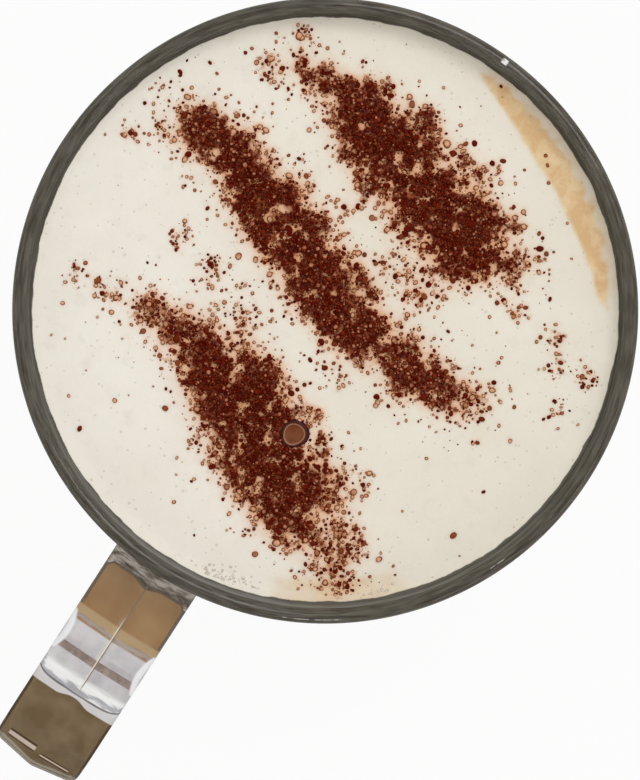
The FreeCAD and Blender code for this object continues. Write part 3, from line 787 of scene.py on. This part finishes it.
def make_foam(material, stain):
    x, y, quads, border = disc_grid(280)
    edge = FOAM_RADIUS + INTO_WALL
    x, y = x * edge, y * edge
    top = np.stack([x, y, foam_height(x, y)], 1)
    vertices, rings, count = [top], [border], len(top)
    faces = quads.tolist()
    for share in np.linspace(0, 1, 10)[1:]:
        height = top[border, 2] * (1 - share) + FOAM_BOTTOM * share
        scale = (wall_radius(height) + INTO_WALL) / edge
        vertices.append(np.stack([x[border] * scale, y[border] * scale, height], 1))
        rings.append(np.arange(count, count + len(border)))
        count += len(border)
    for upper, lower in zip(rings, rings[1:]):
        faces += np.stack([np.roll(upper, -1), upper, lower, np.roll(lower, -1)], 1).tolist()
    faces.append(rings[-1][::-1].tolist())
    vertices = np.concatenate(vertices)
    piece = add_mesh("foam", vertices, faces, material, "foam")
    across, away = from_model(vertices[:, 0], vertices[:, 1])
    on_top = np.arange(count) < len(top)
    mark(piece, "cocoa", cocoa_cover(across, away) * on_top)
    mark(piece, "stain", stain(across, away) * on_top)
    mark(piece, "crema", crema_share(across, away) * on_top)
    mark(piece, "skin", on_top)
    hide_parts("milk_foam")


def make_coffee(material):
    """The coffee as a turned solid that follows the glass and reaches a little into it."""
    bottom = coffee_low[2] - INTO_WALL
    corner = wall_radius(bottom) + INTO_WALL
    profile = rounded([
        (0, bottom, 0),
        (corner, bottom, FLOOR_RADIUS),
        (COFFEE_RADIUS + INTO_WALL, FOAM_BOTTOM, 0),
        (0, FOAM_BOTTOM, 0),
    ], 10)
    profile = [(0, bottom)] + [tuple(point) for point in profile[1:-1]] + [(0, FOAM_BOTTOM)]
    piece = add_mesh("drink", *turned(profile, 192), material, "coffee")
    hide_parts("coffee")


# ---- cocoa ----


def uneven_ball(random, detail, flatness):
    """Vertices and triangles of an uneven ball of about unit radius, and how much each vertex faces up."""
    ball = bmesh.new()
    bmesh.ops.create_icosphere(ball, subdivisions=detail, radius=1.0)
    points = np.array([vertex.co for vertex in ball.verts])
    triangles = np.array([[vertex.index for vertex in face.verts] for face in ball.faces])
    ball.free()
    up = points[:, 2].copy()
    size = np.ones(len(points))
    for _ in range(5):
        way = random.normal(size=3)
        way /= np.linalg.norm(way)
        size += random.uniform(-0.36, 0.36) * np.maximum(points @ way, 0) ** 2
    points = points * size[:, None] * random.uniform(0.76, 1.24, 3)
    points[:, 2] *= flatness
    return points, triangles, up


def scattered(random, wanted, least, power, crowded):
    """Places for grains: across, away and the cover there. They are likelier where the cocoa lies closer, and
    crowded is the share of them that stays where it lies closest."""
    found = np.empty((0, 3))
    while len(found) < wanted:
        radius = (FOAM_RADIUS - 0.9) * np.sqrt(random.uniform(0, 1, 20000))
        angle = random.uniform(0, 2 * math.pi, 20000)
        across, away = radius * np.cos(angle), radius * np.sin(angle)
        cover = cocoa_cover(across, away)
        chance = np.maximum(cover, least) ** power * (1 - (1 - crowded) * smooth_step(0.45, 0.95, cover))
        keep = random.uniform(0, 1, 20000) < chance
        keep &= from_burst_bubble(across, away) > BURST_RADIUS + 0.25
        found = np.concatenate([found, np.stack([across[keep], away[keep], cover[keep]], 1)])
    return found[:wanted]


class Grains:
    """One kind of cocoa grain: where each lies and how large it is."""

    def __init__(self, name, seed, count, sizes, detail, flatness, pile, least, power, crowded):
        self.name, self.detail, self.flatness, self.pile = name, detail, flatness, pile
        self.random = np.random.default_rng(seed)
        self.places = scattered(self.random, count, least, power, crowded)
        smallest, largest = sizes
        self.sizes = smallest + (largest - smallest) * self.random.uniform(0, 1, count) ** 1.6

    def footprint(self):
        return np.stack([self.places[:, 0], self.places[:, 1], self.sizes], 1)

    def make(self, material):
        """All grains of the kind as one mesh, each a turned copy of one of a dozen uneven balls."""
        random, count, kinds = self.random, len(self.places), 12
        x, y = to_model(self.places[:, 0], self.places[:, 1])
        cover = self.places[:, 2]
        height = foam_height(x, y) + self.sizes * self.flatness * 0.35
        height = height + self.pile * cover ** 2 * random.uniform(0, 1, count)
        turn = random.uniform(0, 2 * math.pi, count)
        tone = random.uniform(0, 1, count) * (1 - 0.35 * cover)
        parts = {"points": [], "faces": [], "tone": [], "top": [], "alone": []}
        start = 0
        for kind in range(kinds):
            points, triangles, up = uneven_ball(random, self.detail, self.flatness)
            mine = np.arange(kind, count, kinds)
            turn_cos, turn_sin = np.cos(turn[mine])[:, None], np.sin(turn[mine])[:, None]
            size = self.sizes[mine][:, None]
            px = (points[:, 0] * turn_cos - points[:, 1] * turn_sin) * size + x[mine][:, None]
            py = (points[:, 0] * turn_sin + points[:, 1] * turn_cos) * size + y[mine][:, None]
            pz = points[:, 2] * size + height[mine][:, None]
            parts["points"].append(np.stack([px, py, pz], 2).reshape(-1, 3))
            first = start + np.arange(len(mine)) * len(points)
            parts["faces"].append((first[:, None, None] + triangles).reshape(-1, 3))
            parts["tone"].append(np.repeat(tone[mine], len(points)))
            parts["alone"].append(np.repeat(1 - smooth_step(0.2, 0.75, cover[mine]), len(points)))
            parts["top"].append(np.tile(up, len(mine)))
            start += len(mine) * len(points)
        joined = {key: np.concatenate(values) for key, values in parts.items()}
        piece = add_mesh(self.name, joined["points"], joined["faces"].tolist(), material, "foam")
        for key in ("tone", "top", "alone"):
            mark(piece, key, joined[key])


def cocoa_kinds():
    """name, seed, count, radii, detail, flatness, pile, least cover, power, crowded."""
    return (
        Grains("cocoa_beads", 31, 480, (0.22, 0.42), 3, 0.6, 0.3, 0.002, 0.95, 0.1),
        Grains("cocoa_grains", 32, 2480, (0.17, 0.32), 2, 0.62, 0.35, 0.003, 0.9, 0.5),
        Grains("cocoa_crumbs", 33, 9900, (0.12, 0.26), 1, 0.75, 0.35, 0.0, 1.3, 1.0),
        Grains("cocoa_dust", 34, 4200, (0.05, 0.11), 1, 0.8, 0.2, 0.003, 1.0, 1.0),
    )


def make_burst_bubble(material):
    """The little crater of a bubble that has burst in the cocoa: a brown floor in a raised dark ring."""
    steps = 64
    rings = ((0.0, -0.1), (0.4, -0.1), (0.8, -0.1), (1.1, -0.08), (1.3, -0.03), (1.4, 0.04), (1.48, 0.08),
             (1.56, 0.09), (1.66, 0.06), (1.78, -0.02), (1.95, -0.2))
    x0, y0 = to_model(*BURST_BUBBLE)
    ground = float(foam_height(np.array([x0 + 2.4]), np.array([y0]))[0])
    vertices, faces, out = [(x0, y0, ground + rings[0][1])], [], [0.0]
    for radius, height in rings[1:]:
        for k in range(steps):
            a = 2 * math.pi * k / steps
            reach = radius * (1 + 0.03 * math.cos(2 * a + 0.6) + 0.035 * math.cos(3 * a))
            vertices.append((x0 + reach * math.cos(a), y0 + reach * math.sin(a), ground + height))
            out.append(radius / rings[-1][0])
    for k in range(steps):
        faces.append([0, 1 + k, 1 + (k + 1) % steps])
        for ring in range(len(rings) - 2):
            a, b = 1 + ring * steps + k, 1 + ring * steps + (k + 1) % steps
            faces.append([a, a + steps, b + steps, b])
    piece = add_mesh("burst_bubble", vertices, faces, material, "foam")
    mark(piece, "out", out)


def burst_material():
    m = Material("burst_bubble_film")
    out = m.attribute("out")
    floor = m.ramp(m.noise(600.0, 3.0), (0.35, srgb(100, 46, 12)), (0.65, srgb(122, 66, 30)))
    floor = m.mix(m.rise(out, 0.6, 0.68), floor, srgb(164, 116, 88))
    dark = m.ramp(m.noise(1500.0, 2.0), (0.35, srgb(46, 12, 6)), (0.65, srgb(80, 26, 14)))
    colour = m.mix(m.rise(out, 0.7, 0.74), floor, dark)
    m.surface(m.node("ShaderNodeBsdfPrincipled", {
        "Base Color": colour,
        "Roughness": 0.5,
        "Specular IOR Level": 0.2,
        "Normal": m.bump(m.noise(1800.0, 2.0), 0.3, 0.0001),
    }))
    return m.material


# Clusters of small bubbles where the foam meets the glass: middle angle, half span in degrees, how many.
BUBBLE_CLUSTERS = ((249, 7, 80), (281, 3, 20))


def make_edge_bubbles(material):
    """Small clear-skinned bubbles in the foam's edge."""
    random = np.random.default_rng(51)
    points, faces, tops, start = [], [], [], 0
    for middle, half_span, count in BUBBLE_CLUSTERS:
        for _ in range(count):
            angle = math.radians(middle + half_span * random.normal() * 0.5)
            size = 0.06 + 0.16 * random.uniform() ** 2.2
            radius = FOAM_RADIUS - 0.35 - size - abs(random.normal()) * 0.7
            x, y = to_model(radius * math.cos(angle), radius * math.sin(angle))
            height = float(foam_height(np.array([x]), np.array([y]))[0])
            ball, triangles, up = uneven_ball(random, 3, 0.75)
            points.append(ball * size + (x, y, height + size * 0.2))
            faces.append(triangles + start)
            tops.append(up)
            start += len(ball)
    piece = add_mesh("edge_bubbles", np.concatenate(points), np.concatenate(faces).tolist(), material, "foam")
    mark(piece, "top", np.concatenate(tops))


def bubble_material():
    m = Material("bubble_skin")
    # Painted light and shade: each bubble is paler on top and darker underneath.
    colour = m.ramp(m.attribute("top"), (0.35, srgb(150, 142, 128)), (0.62, srgb(214, 207, 194)),
                    (0.9, srgb(228, 222, 210)))
    colour = m.mix(m.math("MULTIPLY", m.noise(900.0, 2.0), 0.3), colour, srgb(196, 188, 172))
    m.surface(m.node("ShaderNodeBsdfPrincipled", {
        "Base Color": colour,
        "Roughness": 0.12,
        "Coat Weight": 0.5,
    }))
    return m.material


# ---- studio ----


WINDOW_PLACE, WINDOW_HEIGHT, WINDOW_SIZE, WINDOW_POWER = (0.22, 0.34), 0.95, 0.45, 3.4  # metres and watts
WINDOW_AIM = Vector((0, 0, 0.08))
FLOOR_SIZE, FLOOR_WHITENESS = 6.0, 0.93
SKY_LIGHT, SKY_SEEN = 0.6, 1.0
CAMERA_PLACE, CAMERA_AIM, CAMERA_ABOVE_RIM = (5.0, 17.5), (-0.6, -9.8), 400.0
CAMERA_SENSOR, CAMERA_LENS = 36.0, 145.2


def seen_directly(m):
    """1 for rays that show the background: straight to the camera, mirrored or through glass."""
    path = m.node("ShaderNodeLightPath").outputs
    seen = m.math("MAXIMUM", path["Is Camera Ray"], path["Is Glossy Ray"])
    return m.math("MAXIMUM", seen, path["Is Transmission Ray"])


def make_floor():
    m = Material("pale_floor")
    diffuse = m.node("ShaderNodeBsdfDiffuse", {"Color": (0.86, 0.86, 0.86, 1)})
    white = m.node("ShaderNodeEmission", {"Color": (1, 1, 1, 1), "Strength": 1.0})
    share = m.math("MULTIPLY", seen_directly(m), FLOOR_WHITENESS)
    m.surface(m.node("ShaderNodeMixShader", {0: share, 1: diffuse.outputs[0], 2: white.outputs[0]}))
    bpy.ops.mesh.primitive_grid_add(x_subdivisions=8, y_subdivisions=8, size=FLOOR_SIZE)
    floor = bpy.context.object
    floor.name = "floor"
    floor.data.materials.append(m.material)


def make_world():
    world = bpy.data.worlds.new("studio")
    bpy.context.scene.world = world
    world.use_nodes = True
    tree = world.node_tree
    tree.nodes.clear()
    path = tree.nodes.new("ShaderNodeLightPath")
    either = tree.nodes.new("ShaderNodeMath")
    either.operation = "MAXIMUM"
    tree.links.new(path.outputs["Is Camera Ray"], either.inputs[0])
    tree.links.new(path.outputs["Is Transmission Ray"], either.inputs[1])
    strength = tree.nodes.new("ShaderNodeMapRange")
    tree.links.new(either.outputs[0], strength.inputs["Value"])
    strength.inputs["To Min"].default_value = SKY_LIGHT
    strength.inputs["To Max"].default_value = SKY_SEEN
    background = tree.nodes.new("ShaderNodeBackground")
    background.inputs["Color"].default_value = (1.0, 0.99, 0.975, 1)
    tree.links.new(strength.outputs[0], background.inputs["Strength"])
    output = tree.nodes.new("ShaderNodeOutputWorld")
    tree.links.new(background.outputs[0], output.inputs["Surface"])


def make_window_light():
    """One soft window, high beyond the mug on the drinker's right."""
    lamp = bpy.data.lights.new("window", "AREA")
    lamp.shape = "RECTANGLE"
    lamp.size, lamp.size_y, lamp.energy = WINDOW_SIZE, WINDOW_SIZE, WINDOW_POWER
    item = bpy.data.objects.new("window", lamp)
    item.location = (*to_model(*WINDOW_PLACE), WINDOW_HEIGHT)
    item.rotation_euler = (WINDOW_AIM - item.location).to_track_quat("-Z", "Y").to_euler()
    bpy.context.collection.objects.link(item)


def make_camera():
    """Almost straight above, aimed between the mug and its handle."""
    data = bpy.data.cameras.new("camera")
    data.sensor_fit = "VERTICAL"
    data.sensor_height = CAMERA_SENSOR
    data.lens = CAMERA_LENS
    camera = bpy.data.objects.new("camera", data)
    bpy.context.collection.objects.link(camera)
    eye = Vector((*to_model(*CAMERA_PLACE), RIM_HEIGHT + CAMERA_ABOVE_RIM)) * MM
    aim = Vector((*to_model(*CAMERA_AIM), RIM_HEIGHT)) * MM
    back = (eye - aim).normalized()
    right = Vector((*to_model(0.0, 1.0), 0.0)).cross(back).normalized()
    rotation = Matrix((right, back.cross(right), back)).transposed()
    camera.matrix_world = Matrix.Translation(eye) @ rotation.to_4x4()
    bpy.context.scene.camera = camera


def make_cocoa():
    kinds = cocoa_kinds()
    wet = cocoa_material("wet_cocoa", srgb(94, 18, 3), srgb(156, 72, 38), srgb(230, 180, 142), 0.6)
    fused = cocoa_material("fused_cocoa", srgb(86, 14, 2), srgb(150, 66, 34), srgb(228, 168, 126), 0.45)
    dark = cocoa_material("cocoa_specks", srgb(124, 58, 30), srgb(172, 108, 70), srgb(204, 152, 114), 0.4)
    for kind, material in zip(kinds, (wet, wet, fused, dark)):
        kind.make(material)
    return Stain(np.concatenate([kind.footprint() for kind in kinds]))


bpy.context.scene.view_settings.view_transform = "Standard"
stain = make_cocoa()
make_foam(foam_material(), stain)
make_burst_bubble(burst_material())
make_edge_bubbles(bubble_material())
make_coffee(coffee_material())
make_mug(glass_material())
make_floor()
make_world()
make_window_light()
make_camera()
